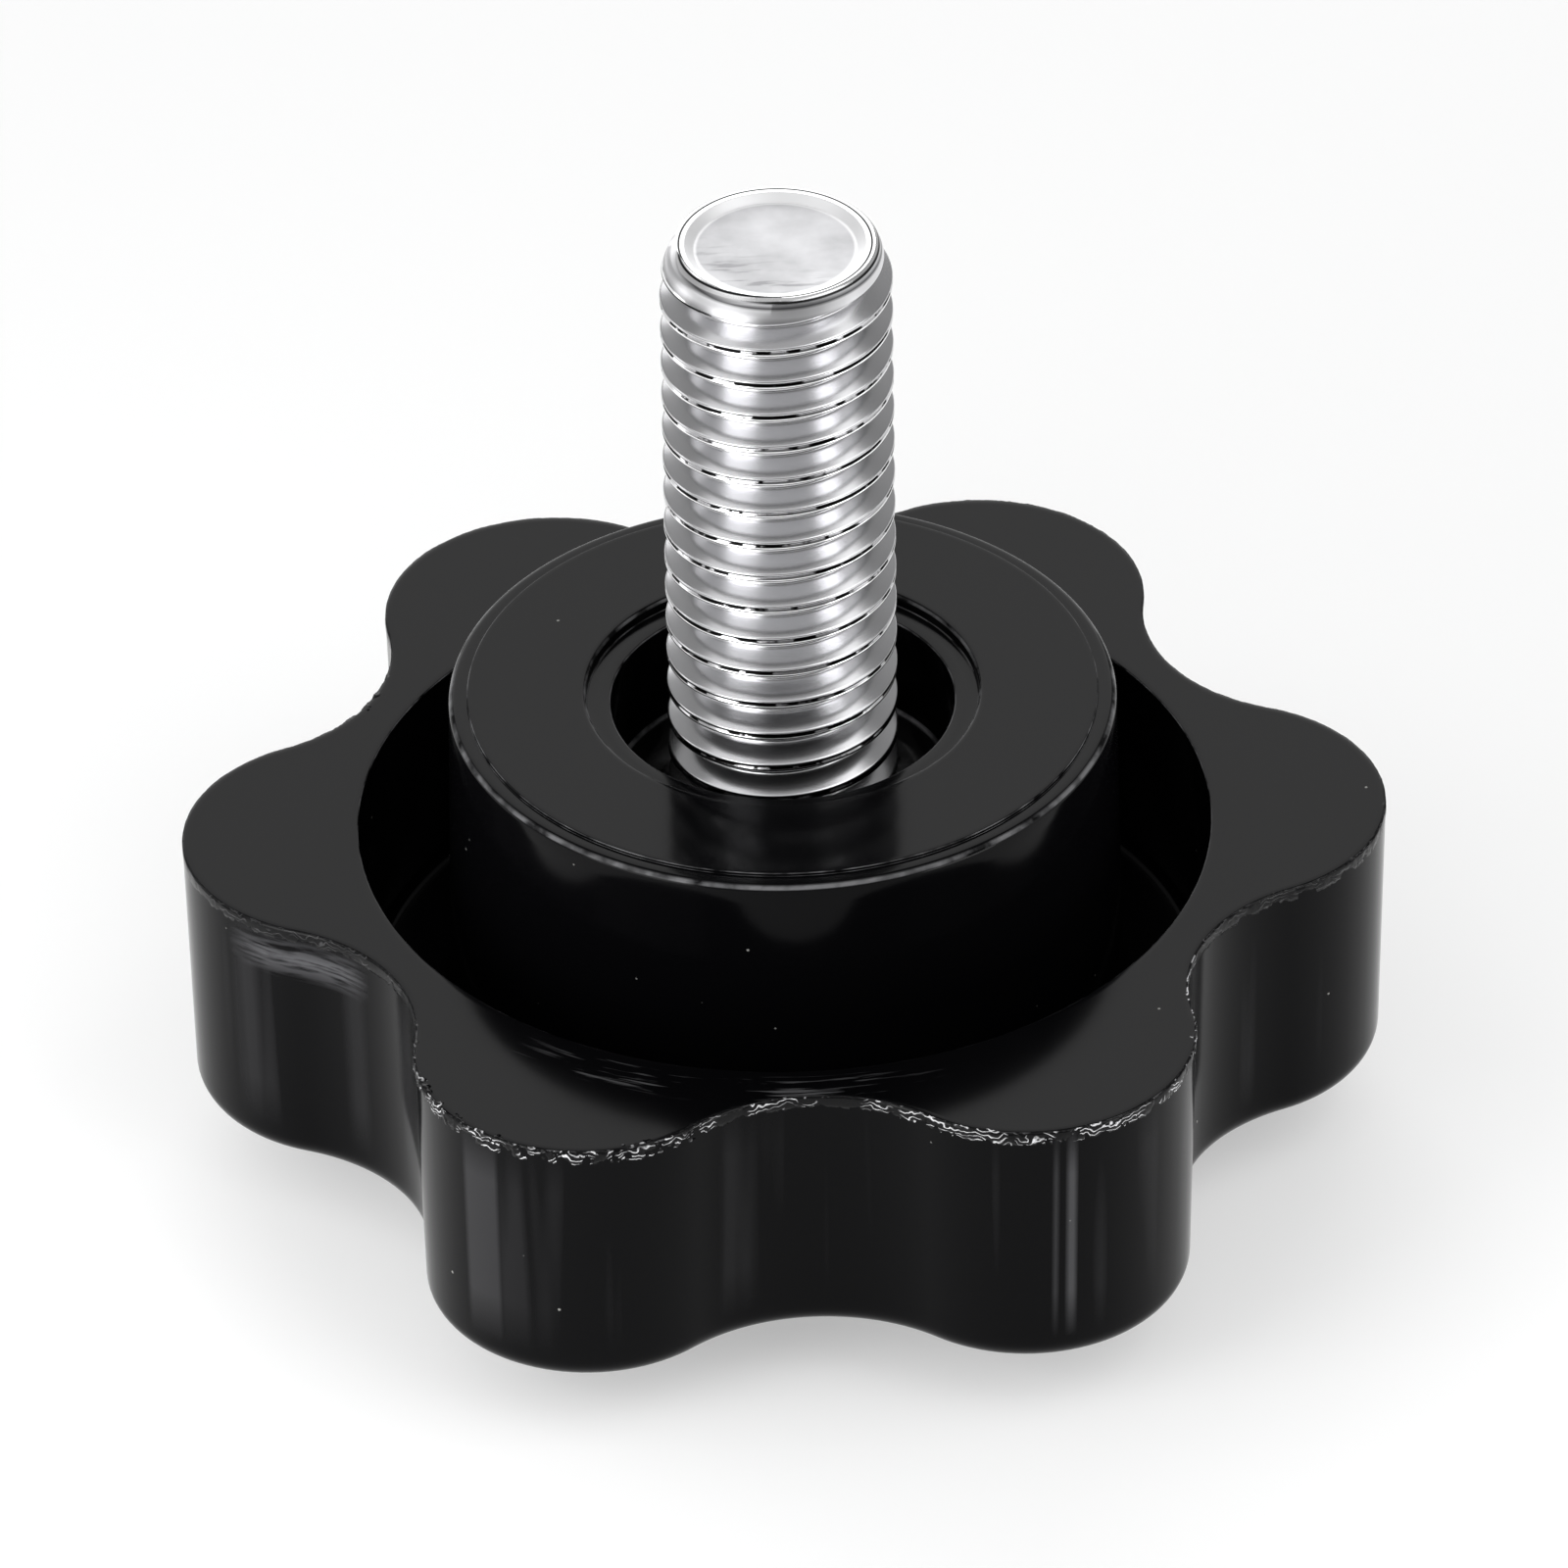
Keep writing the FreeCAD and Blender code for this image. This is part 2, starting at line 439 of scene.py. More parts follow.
def bridge(obj, first, second, level=False):
    """Bridges two rings. Two rings of one level face have no up or down between them that would
    tell the operator how to pair their corners, so the first is lowered meanwhile."""
    lowered = 5 * MM
    edit(obj)
    select_ring(first)
    if level:
        bpy.ops.transform.translate(value=(0, 0, -lowered))
    select_ring(second)
    bpy.ops.mesh.bridge_edge_loops()
    if level:
        bpy.ops.mesh.select_all(action="DESELECT")
        select_ring(first)
        bpy.ops.transform.translate(value=(0, 0, lowered))
    done()


only(inside, dome, *wall_rings, *pocket)
bpy.ops.object.join()
body = bpy.context.object
body.name = "moulded_knob"
for first, second in zip(wall_names, wall_names[1:]):
    bridge(body, first, second, level=second in (wall_names[1], wall_names[-1]))
bridge(body, "base_inner", wall_names[0], level=True)
bridge(body, "rim_inner", wall_names[-1], level=True)
bridge(body, "shank", "pocket_top", level=True)
bridge(body, "pocket_top", "pocket_bottom")
edit(body)
select_ring("pocket_bottom")
bpy.ops.mesh.edge_face_add()
done()
tidy(body, merge=2e-7)
body.vertex_groups.clear()
only(body)
bpy.ops.object.shade_smooth()
shape_with(body, "WEIGHTED_NORMAL", mode="FACE_AREA", weight=80, keep_sharp=False)
loose = sum(1 for edge in body.data.edges if edge.is_loose)
print("moulding:", len(body.data.vertices), "corners,", len(body.data.polygons), "faces, loose edges", loose)

# %% [markdown]
# The mould closes at the rim, and what squeezed into the gap there was torn off rather than
# cut. That leaves a low ragged strip along the top of the wall, called flash: heavy on the
# two front lobes, thin lines elsewhere. It could be sculpted, but a strip that noise roughens
# is quicker and covers the whole rim. It is a closed belt of five finer outlines, most of it
# inside the wall.

# %% A strip for the flash
FLASH_SECTION = [  # inset from the outline, and depth below the rim face
    (0.25, 0.03), (0.0, 0.01), (-0.015, 0.25), (0.02, 0.62), (0.25, 0.75),
]
FLASH_STEPS = {"lobe_steps": 72, "hollow_steps": 50}

flash_names = [f"flash_{index}" for index in range(len(FLASH_SECTION))]
flash_rings = [
    outline(name, inset, RIM_Z - below, **FLASH_STEPS)
    for name, (inset, below) in zip(flash_names, FLASH_SECTION)
]
only(*flash_rings)
bpy.ops.object.join()
flash = bpy.context.object
flash.name = "rim_flash"
for first, second in zip(flash_names, flash_names[1:] + flash_names[:1]):
    bridge(flash, first, second)
edit(flash, "EDGE")
bpy.ops.mesh.select_all(action="SELECT")
bpy.ops.mesh.subdivide(number_cuts=1)
done()
flash.vertex_groups.clear()
tidy(flash)
print("flash:", len(flash.data.vertices), "corners")

# %% [markdown]
# Two Displace modifiers roughen the strip, first with tears of about half a millimetre and
# then with crumbs. A vertex group says how much of it each corner takes, by its direction
# from the stud: in degrees, counted from the first lobe as +X.

# %% Tearing the flash
FLASH_LEAST = 0.12
FLASH_PEAKS = [  # direction, half-width in degrees, and how much of the roughness it has there
    (236, 13, 1.0),
    (252, 8, 0.75),
    (296, 12, 0.5),
    (314, 6, 0.55),
    (348, 16, 0.3),
    (150, 7, 0.6),
    (62, 20, 0.2),
    (118, 20, 0.15),
]
TEARS = [("tears", 0.55, 2, 0.42), ("crumbs", 0.16, 1, 0.16)]  # grain in mm, detail, strength in mm


def flash_amount(direction):
    """A bell of roughness round each peak, over the least that there is everywhere."""
    amount = FLASH_LEAST
    for middle, half_width, share in FLASH_PEAKS:
        apart = abs((direction - middle + 180) % 360 - 180) / half_width
        amount = max(amount, share * math.exp(-0.7 * apart**2))
    return amount


ragged = flash.vertex_groups.new(name="ragged")
for corner in flash.data.vertices:
    direction = math.degrees(math.atan2(corner.co.y, corner.co.x)) % 360
    ragged.add([corner.index], flash_amount(direction), "ADD")
for name, grain, detail, strength in TEARS:
    clouds = bpy.data.textures.new(name, "CLOUDS")
    clouds.noise_scale = grain * MM
    clouds.noise_depth = detail
    clouds.noise_basis = "ORIGINAL_PERLIN"
    shape_with(
        flash, "DISPLACE", texture=clouds, texture_coords="LOCAL", direction="NORMAL",
        mid_level=0.5, strength=strength * MM, vertex_group="ragged",
    )
only(flash)
bpy.ops.object.shade_smooth()
print("heaviest flash at", max(range(360), key=flash_amount), "degrees")

# %% [markdown]
# The screw's thread is rolled: the blank is squeezed between dies, so its crests are two
# small lips with a seam between them, its flanks are smooth and its root is rounded. It is
# modelled from one pitch of that section, which the Screw modifier carries round and up. A
# true helix is worth its faces, because the light runs along its flanks.

# %% One pitch of the thread
STUD_END_Z = 43.8
PITCH = 1.5875
THREAD_STEPS = 96
HALF_A_PITCH = [  # depth below the crest, and height above the middle of the crest
    (0.055, 0.0), (0.040, 0.035),  # the seam
    (0.012, 0.075), (0.001, 0.115), (0.006, 0.155), (0.035, 0.190), (0.080, 0.218),  # a lip
    (0.300, 0.345), (0.520, 0.472), (0.740, 0.599),  # the flank
    (0.830, 0.658), (0.880, 0.722), (0.895, PITCH / 2),  # the root
]

turns = math.ceil((STUD_END_Z - RECESS_FLOOR_Z) / PITCH) + 2
foot = RECESS_FLOOR_Z - PITCH
whole_pitch = HALF_A_PITCH + [(depth, PITCH - z) for depth, z in reversed(HALF_A_PITCH[:-1])]
thread = draw_section("thread", [(STUD_RADIUS - depth, foot + z) for depth, z in whole_pitch])
shape_with(
    thread, "SCREW", axis="Z", angle=math.tau, screw_offset=PITCH * MM,
    iterations=turns, steps=THREAD_STEPS, render_steps=THREAD_STEPS,
)
tidy(thread, merge=2e-6)
print("thread:", len(thread.data.vertices), "corners in", turns, "turns")

# %% [markdown]
# The helix is cut off level with the floor of the recess and above the stud's end, each cut
# closed with a face, and then intersected with the blank: a turned bar with a chamfered,
# slightly cupped end. That leaves the first turn and a half with cut-down crests, as a real
# lead has.

# %% Cutting the thread to the blank
CHAMFER_LENGTH = 1.65
END_RADIUS = STUD_RADIUS - 0.5
CLEAR = 0.05  # that the blank stands off the crests, so that it doesn't touch them

for height, keeps_below in ((RECESS_FLOOR_Z, False), (STUD_END_Z + 0.4, True)):
    edit(thread)
    bpy.ops.mesh.select_all(action="SELECT")
    bpy.ops.mesh.bisect(
        plane_co=(0, 0, height * MM), plane_no=(0, 0, 1), use_fill=True,
        clear_inner=not keeps_below, clear_outer=keeps_below,
    )
    done()
tidy(thread)

blank = draw_section("blank", [
    (0, RECESS_FLOOR_Z - 1.0),
    (STUD_RADIUS + CLEAR, RECESS_FLOOR_Z - 1.0),
    (STUD_RADIUS + CLEAR, STUD_END_Z - CHAMFER_LENGTH, 0.3),
    (END_RADIUS - 0.03, STUD_END_Z - 0.1, 0.2),
    (END_RADIUS - 0.2, STUD_END_Z, 0.15),
    (END_RADIUS - 0.55, STUD_END_Z - 0.03, 0.1),
    (END_RADIUS - 0.95, STUD_END_Z - 0.3, 0.2),
    (END_RADIUS - 1.6, STUD_END_Z - 0.32),
    (0, STUD_END_Z - 0.3),
])
spin_round(blank, steps=2 * THREAD_STEPS)
shape_with(thread, "BOOLEAN", object=blank, operation="INTERSECT", solver="EXACT")
bpy.data.objects.remove(blank)
print("stud above the recess:", len(thread.data.polygons), "faces")

# %% [markdown]
# Below the recess the screw is plain: its shank, and the hexagon head that keeps it from
# turning in the plastic. Nobody sees them, so they are a spun shank and an extruded
# hexagon, joined to the thread as the one screw that it is. The shank's ends are sunk a
# little into its neighbours.

# %% The hidden shank and head
SUNK = 0.2  # of the shank in the screw's head
LAPPED = 0.1  # of the shank in the thread

head = hexagon("screw", SCREW_HEAD_BOTTOM_Z)
edit(head)
bpy.ops.mesh.select_all(action="SELECT")
bpy.ops.mesh.edge_face_add()
bpy.ops.mesh.extrude_region_move(
    TRANSFORM_OT_translate={"value": (0, 0, (SCREW_HEAD_TOP_Z - SCREW_HEAD_BOTTOM_Z) * MM)}
)
done()
head.vertex_groups.clear()
tidy(head)
shank = draw_section("shank", [
    (0, SCREW_HEAD_TOP_Z - SUNK),
    (SHANK_RADIUS, SCREW_HEAD_TOP_Z - SUNK),
    (SHANK_RADIUS, RECESS_FLOOR_Z + LAPPED),
    (0, RECESS_FLOOR_Z + LAPPED),
])
spin_round(shank, steps=THREAD_STEPS)
only(thread, head, shank)
bpy.ops.object.join()
stud = bpy.context.object
stud.name = "threaded_screw"
only(stud)
bpy.ops.object.shade_smooth_by_angle(angle=math.radians(40))
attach(stud, "root")
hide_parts("threaded_stud")
print("screw:", len(stud.data.vertices), "corners")

# %% [markdown]
# Materials. Colours are written as sRGB hex values, as a colour picker gives them, and one
# function turns them into the linear numbers that Blender's shaders take. Another adds a
# node: an input given as a node or a socket is linked, and a number or a colour is set. A
# pattern's scale is how many of its features fit in a metre, so it is worked out from their
# size in millimetres.

# %% Helpers for materials
def linear(hex_value):
    channels = [int(hex_value[i:i + 2], 16) / 255 for i in (1, 3, 5)]
    return tuple(c / 12.92 if c <= 0.04045 else ((c + 0.055) / 1.055) ** 2.4 for c in channels) + (1.0,)


def material(name):
    """A new material, its nodes and its main shader."""
    made = bpy.data.materials.new(name)
    made.use_nodes = True
    return made, made.node_tree, made.node_tree.nodes["Principled BSDF"]


def node(tree, kind, inputs=None, **settings):
    """Adds a node with its settings and inputs. Of a node that is an input, the first output
    is linked, and text that starts with # is a colour."""
    made = tree.nodes.new(kind)
    for name, value in settings.items():
        setattr(made, name, value)
    for key, value in (inputs or {}).items():
        if isinstance(value, bpy.types.Node):
            value = value.outputs[0]
        if isinstance(value, bpy.types.NodeSocket):
            tree.links.new(value, made.inputs[key])
        else:
            made.inputs[key].default_value = linear(value) if isinstance(value, str) else value
    return made


def scale_of(size):
    """The scale of a pattern whose features are this many millimetres."""
    return 1 / (size * MM)


def wear(obj, *materials):
    obj.data.materials.clear()
    for item in materials:
        obj.data.materials.append(item)


print("mid grey in linear numbers:", round(linear("#808080")[0], 4))

# %% [markdown]
# Wear follows the shape of the knob, so each material first asks where a point lies. From
# that come masks, numbers from 0 to 1: a band of heights, a band of radii, or a sector of
# directions from the stud. Masks multiplied together leave only what they share. This is
# chosen over painted maps, because it needs no image and keeps its place exactly.

# %% Helpers for masks
def whereabouts(tree):
    """Where a point lies: its place, height, radius and direction from the stud's axis, and
    how far its surface faces up, from 0 for a wall to 1 for a level face."""
    coordinates = node(tree, "ShaderNodeTexCoord")
    place = coordinates.outputs["Object"]
    axes = node(tree, "ShaderNodeSeparateXYZ", {0: place}).outputs
    flat = node(tree, "ShaderNodeMapping", {0: place, 3: (1, 1, 0)})
    angle = node(tree, "ShaderNodeMath", {0: axes["Y"], 1: axes["X"]}, operation="ARCTAN2")
    return SimpleNamespace(
        place=place,
        height=axes["Z"],
        radius=node(tree, "ShaderNodeVectorMath", {0: flat}, operation="LENGTH").outputs["Value"],
        direction=node(tree, "ShaderNodeMath", {0: angle, 1: math.tau}, operation="FLOORED_MODULO"),
        slope=node(tree, "ShaderNodeSeparateXYZ", {0: coordinates.outputs["Normal"]}).outputs["Z"],
    )


def overlap(tree, *masks):
    """What the masks share. A plain number among them weakens the result."""
    made = masks[0]
    for mask in masks[1:]:
        made = node(tree, "ShaderNodeMath", {0: made, 1: mask}, operation="MULTIPLY")
    return made


def band(tree, value, low=None, high=None, soft=0.0):
    """1 where the value lies above low and below high, one of which may be left out, falling
    to 0 over the soft width on either side of them."""
    sides = []
    if low is not None:
        sides.append(node(tree, "ShaderNodeMapRange", {0: value, 1: low - soft, 2: low + soft}))
    if high is not None:
        fall = {0: value, 1: high - soft, 2: high + soft, 3: 1.0, 4: 0.0}
        sides.append(node(tree, "ShaderNodeMapRange", fall))
    return overlap(tree, *sides)


def sector(tree, at, low, high, soft):
    """A band of directions, in degrees from the first lobe as +X."""
    return band(tree, at.direction, *(math.radians(angle) for angle in (low, high, soft)))


print("helpers for masks ready")

# %% [markdown]
# Colours are then laid over a ground in turn, each by its mask, as layers of paint are. Where
# a colour changes along a length instead, as it does over one pitch of the thread, a colour
# ramp holds its stops, written in millimetres.

# %% Helpers for layers of colour
MIX_UNDER, MIX_OVER, MIX_RESULT = 6, 7, 2  # sockets of a Mix node that take and give colours


def layered(tree, colour, *layers):
    """A colour with others laid over it in turn, each given as its mask and its own colour."""
    for mask, over in layers:
        mix = node(tree, "ShaderNodeMix", {0: mask, MIX_UNDER: colour, MIX_OVER: over}, data_type="RGBA")
        colour = mix.outputs[MIX_RESULT]
    return colour


def tones_along(tree, part, length, tones):
    """Colours along a length in mm, given as their places and colours. The part of the length
    runs from 0 to 1."""
    ramp = node(tree, "ShaderNodeValToRGB", {0: part})
    stops = ramp.color_ramp.elements
    while len(stops) < len(tones):
        stops.new(0.5)
    for stop, (distance, tone) in zip(stops, tones):
        stop.position, stop.color = distance / length, linear(tone)
    return ramp


print("helpers for layers ready")

# %% [markdown]
# The moulding is a glossy black phenolic or nylon: almost no colour of its own, so that the
# eye sees only what it reflects. Its sharp upper edges carry a faint pale line, which breaks
# off every millimetre or so: edge wear, and a painted highlight along the edges. The mask for
# it takes the faces that are neither upright nor level, above the side wall.

# %% Black plastic: worn edges with a painted highlight
plastic, tree, shader = material("glossy_black_moulded_plastic")
at = whereabouts(tree)
breaks = node(tree, "ShaderNodeTexNoise", {"Vector": at.place, "Scale": scale_of(1.3), "Detail": 3.0})
# The pale line on the upper edges is edge wear and a painted highlight.
edge = overlap(
    tree,
    band(tree, at.slope, 0.4, 0.86, soft=0.08),
    band(tree, at.height, (RIM_Z - 0.3) * MM, soft=0.05 * MM),
    band(tree, breaks, 0.5, soft=0.12),
    0.5,
)
print("nodes for the place and the edges", len(tree.nodes))

# %% [markdown]
# On the side wall are faint upright marks where the part was drawn from its mould, so a noise
# is stretched along the height. A few broader bands at chosen directions are painted paler,
# as painted reflection streaks, and the marks take whichever is stronger. All of them stay
# clear of the rounded edge below and of the rim above.

# %% Black plastic: drawn marks and painted reflection streaks
# The paler bands below are painted reflection streaks at fixed directions.
PAINTED_STREAKS = [  # direction and half-width in degrees, strength, and softness in degrees
    (193.0, 1.0, 0.14, 0.6),
    (203.4, 1.2, 0.1, 0.7),
    (236.9, 1.9, 0.28, 0.3),
    (295.1, 0.4, 0.6, 0.25),
    (293.6, 0.2, 0.3, 0.2),
]

drawn = node(tree, "ShaderNodeMapping", {0: at.place, 3: (1, 1, 0.03)})
drawn_marks_and_painted_streaks = node(tree, "ShaderNodeTexNoise", {"Vector": drawn, "Scale": scale_of(1.9), "Detail": 2.0})
drawn_marks_and_painted_streaks = overlap(tree, band(tree, drawn_marks_and_painted_streaks, 0.63, soft=0.05), 0.1)
for middle, half_width, strength, soft in PAINTED_STREAKS:
    painted_streak = overlap(tree, sector(tree, at, middle - half_width, middle + half_width, soft), strength)
    drawn_marks_and_painted_streaks = node(tree, "ShaderNodeMath", {0: drawn_marks_and_painted_streaks, 1: painted_streak}, operation="MAXIMUM")
upright = band(tree, at.slope, -0.3, 0.3, soft=0.05)
outer = band(tree, at.radius, 18.6 * MM, soft=0.2 * MM)
below_rim = band(tree, at.height, 5.5 * MM, 13.9 * MM, soft=1.2 * MM)
drawn_marks_and_painted_streaks = overlap(tree, drawn_marks_and_painted_streaks, upright, outer, below_rim)
print("rubbed bands", len(PAINTED_STREAKS))

# %% [markdown]
# Under the rim of the left lobe the wall carries brushed strokes, painted pale as a soft
# highlight, and use has scratched the rim face beside the well at the front. Both are fine
# noise, stretched along the stroke: the first ten times longer than high, the second along
# circles round the stud. Real scratches are too fine to show here, so these are drawn 0.2 mm
# wide.

# %% Black plastic: brushed patch with a painted highlight, and scratches
BRUSHED_AND_PAINTED_HIGHLIGHT = (193, 204)  # directions in degrees
SCRATCHED = (237, 282)
ALONG_CIRCLES = 1.1 * MM  # for each radian, which is short, so that a scratch is long and thin

strokes = node(tree, "ShaderNodeMapping", {0: at.place, 3: (0.1, 0.1, 1)})
strokes = node(tree, "ShaderNodeTexNoise", {"Vector": strokes, "Scale": scale_of(0.2), "Detail": 4.0})
# Brushed strokes under the left lobe's rim, painted pale as a soft highlight.
brushed_and_painted_highlight = overlap(
    tree,
    sector(tree, at, *BRUSHED_AND_PAINTED_HIGHLIGHT, soft=2),
    band(tree, at.height, 12.9 * MM, 14.1 * MM, soft=0.5 * MM),
    upright,
    outer,
    band(tree, strokes, 0.48, soft=0.1),
    0.5,
)

arc = node(tree, "ShaderNodeMath", {0: at.direction, 1: ALONG_CIRCLES}, operation="MULTIPLY")
around = node(tree, "ShaderNodeCombineXYZ", {0: at.radius, 1: arc})
scratches = node(tree, "ShaderNodeTexNoise", {"Vector": around, "Scale": scale_of(0.22), "Detail": 3.0})
scratches = overlap(
    tree,
    band(tree, scratches, 0.6, soft=0.05),
    sector(tree, at, *SCRATCHED, soft=5.7),
    band(tree, at.radius, 18.3 * MM, 19.7 * MM, soft=0.3 * MM),
    band(tree, at.slope, 0.97, soft=0.01),
    0.3,
)
print("brushed over", BRUSHED_AND_PAINTED_HIGHLIGHT, "and scratched over", SCRATCHED, "degrees")

# %% [markdown]
# Dust is a Voronoi pattern, which is a set of scattered points: a point shows only where it
# is nearly touched, so each cell of 2.2 mm has at most one speck. The gloss varies a
# little over 7 mm, as handled plastic does. The photograph's walls reflect less than
# most plastics do, which the low index of refraction gives.

# %% Black plastic: dust, colour and gloss
specks = node(tree, "ShaderNodeTexVoronoi", {"Vector": at.place, "Scale": scale_of(2.2), "Randomness": 1.0})
dust = overlap(tree, band(tree, specks.outputs["Distance"], high=0.028, soft=0.006), 0.6)
colour = layered(
    tree, "#050506",
    (drawn_marks_and_painted_streaks, "#58585a"),
    (scratches, "#78787a"),
    (brushed_and_painted_highlight, "#707073"),
    (edge, "#8c8c8e"),
    (dust, "#a8a8a4"),
)
tree.links.new(colour, shader.inputs["Base Color"])

scuffs = node(tree, "ShaderNodeTexNoise", {"Vector": at.place, "Scale": scale_of(7.0), "Detail": 3.0})
gloss = node(tree, "ShaderNodeMapRange", {0: scuffs, 1: 0.35, 2: 0.7, 3: 0.12, 4: 0.15}).outputs[0]
tree.links.new(gloss, shader.inputs["Roughness"])
shader.inputs["IOR"].default_value = 1.17
print("black plastic:", len(tree.nodes), "nodes")

# %% [markdown]
# Where the flash tore, the plastic is rough, and thin winding ridges on it are painted white
# as glints, painted highlights. They are the height, made to wander by a noise and counted off
# every 0.23 mm. Patches of the tear stay black, and away from the front the ridges are hardly
# painted.

# %% Torn flash with painted glints
RIDGE_SPACING = 0.23
WANDER = 1.3  # mm that a ridge strays from level

torn, tree, shader = material("torn_moulding_flash")
at = whereabouts(tree)
wander = node(tree, "ShaderNodeTexNoise", {"Vector": at.place, "Scale": scale_of(0.9), "Detail": 2.0})
wander = node(tree, "ShaderNodeMath", {0: wander, 1: WANDER * MM, 2: at.height}, operation="MULTIPLY_ADD")
ridges = node(tree, "ShaderNodeMath", {0: wander, 1: RIDGE_SPACING * MM}, operation="FLOORED_MODULO")
patches = node(tree, "ShaderNodeTexNoise", {"Vector": at.place, "Scale": scale_of(1.1), "Detail": 2.0})
front = sector(tree, at, 227, 325, soft=5)
# Painted glints: white ridges, strongest at the front.
painted_glints = overlap(
    tree,
    band(tree, ridges, 0.02 * MM, 0.06 * MM, soft=0.015 * MM),
    band(tree, patches, 0.48, soft=0.06),
    node(tree, "ShaderNodeMath", {0: front, 1: 0.9, 2: 0.06}, operation="MULTIPLY_ADD"),
)
tree.links.new(layered(tree, "#060607", (painted_glints, "#e4e4e6")), shader.inputs["Base Color"])
shader.inputs["Roughness"].default_value = 0.25
shader.inputs["IOR"].default_value = 1.25
print("torn flash:", len(tree.nodes), "nodes")

# %% [markdown]
# The flash is the same moulding as the knob, so the two are joined. Each takes its material
# first, and joining keeps both. The finished piece then rides on the body that carries the
# knob, and stands in for the CAD node of the moulding.

# %% The finished moulding
wear(body, plastic)
wear(flash, torn)
only(body, flash)
bpy.ops.object.join()
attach(body, "root")
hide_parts("knob_body")
print("moulding with its flash:", len(body.data.vertices), "corners")

# %% [markdown]
# Bright zinc plating over a rolled thread. Rolling burnishes the two lips of each crest, and
# oil and oxide stay in the seam between them. The lower lip is painted almost white as a
# highlight, and the edge of the flank under it is painted dark as shade. A colour ramp carries
# that once per pitch: its input is how far a point lies along the pitch above the middle of
# the crest, with the turn about the axis taken off.

# %% Plated steel: the colour along a pitch, with painted highlight and shade
THREAD_TONES = [  # mm above the middle of a crest
    (0.000, "#101010"), (0.060, "#101010"),  # upper half of the seam
    (0.095, "#c8c8ca"), (1.290, "#c0c0c2"),  # upper lip, flanks and root
    (1.330, "#1c1c1c"), (1.390, "#1c1c1c"),  # painted shade under the next lip
    (1.410, "#f8f8f9"), (1.500, "#f8f8f9"),  # the lower lip of the next crest, a painted highlight
    (1.525, "#101010"),  # lower half of its seam
]

steel, tree, shader = material("bright_zinc_plated_rolled_steel")
at = whereabouts(tree)
climb = node(tree, "ShaderNodeMath", {0: at.height, 1: -RECESS_FLOOR_Z * MM}, operation="ADD")
climb = node(tree, "ShaderNodeMath", {0: climb, 1: PITCH * MM}, operation="DIVIDE")
turned = node(tree, "ShaderNodeMath", {0: at.direction, 1: math.tau}, operation="DIVIDE")
phase = node(tree, "ShaderNodeMath", {0: climb, 1: turned}, operation="SUBTRACT")
phase = node(tree, "ShaderNodeMath", {0: phase, 1: 1.0}, operation="FLOORED_MODULO")
thread_colour = tones_along(tree, phase, PITCH, THREAD_TONES)
print("colour stops along the pitch", len(THREAD_TONES))

# %% [markdown]
# The seam is nicked where the lips touched, so a coarse noise brightens parts of it. The
# chamfer and the rim of the stud's end were cut rather than rolled. They are painted in pale
# bands with dark lines between them, as painted reflections. Two more ramps hold those, one
# by height and one by the distance in from the rim.

# %% Plated steel: nicks, and painted reflection bands on the chamfer and rim
# Pale and dark bands of painted reflection on the chamfer and on the rim.
CHAMFER_TONES = [  # mm up, from 1 mm below the stud's end
    (0.0, "#8c8c8e"), (0.3, "#e8e8ea"), (0.55, "#e8e8ea"), (0.66, "#5a5a5c"),
    (0.8, "#d0d0d2"), (0.86, "#202020"), (0.9, "#202020"), (0.94, "#f6f6f7"),
]
RIM_TONES = [  # mm in from the stud's end radius
    (0.27, "#e0e0e1"), (0.3, "#1a1a1c"), (0.35, "#1a1a1c"), (0.39, "#f4f4f5"),
]

nicks = node(tree, "ShaderNodeTexNoise", {"Vector": at.place, "Scale": scale_of(1.1), "Detail": 6.0})
off_seam = band(tree, phase, 0.1 / PITCH, 1.5 / PITCH, soft=0.01)
seam = node(tree, "ShaderNodeMath", {0: 1.0, 1: off_seam}, operation="SUBTRACT")
nicks = overlap(tree, band(tree, nicks, 0.51, soft=0.02), seam, 0.9)

above = node(tree, "ShaderNodeMath", {0: at.height, 1: -(STUD_END_Z - 1.0) * MM}, operation="ADD")
inward = node(tree, "ShaderNodeMath", {0: END_RADIUS * MM, 1: at.radius}, operation="SUBTRACT")
chamfer_colour = tones_along(tree, overlap(tree, above, 1 / MM), 1.0, CHAMFER_TONES)
rim_colour = tones_along(tree, overlap(tree, inward, 1 / MM), 1.0, RIM_TONES)
on_chamfer = band(tree, above, 0.0, soft=0.05 * MM)
on_rim = overlap(
    tree, band(tree, inward, 0.12 * MM, soft=0.02 * MM), band(tree, above, 0.6 * MM, soft=0.01 * MM),
)
print("chamfer and rim:", len(CHAMFER_TONES) + len(RIM_TONES), "colour stops")

# %% [markdown]
# The layers are put together. Rolling leaves the lips smoother than the flanks, and the
# chamfer, which was cut, is the dullest. A bare metal needs no index of refraction: it is
# metallic all over, and its colour is what it mirrors.

# %% Plated steel: colour and gloss
FLANK_ROUGHNESS = 0.23
LIP_ROUGHNESS = 0.12
CHAMFER_ROUGHNESS = 0.32

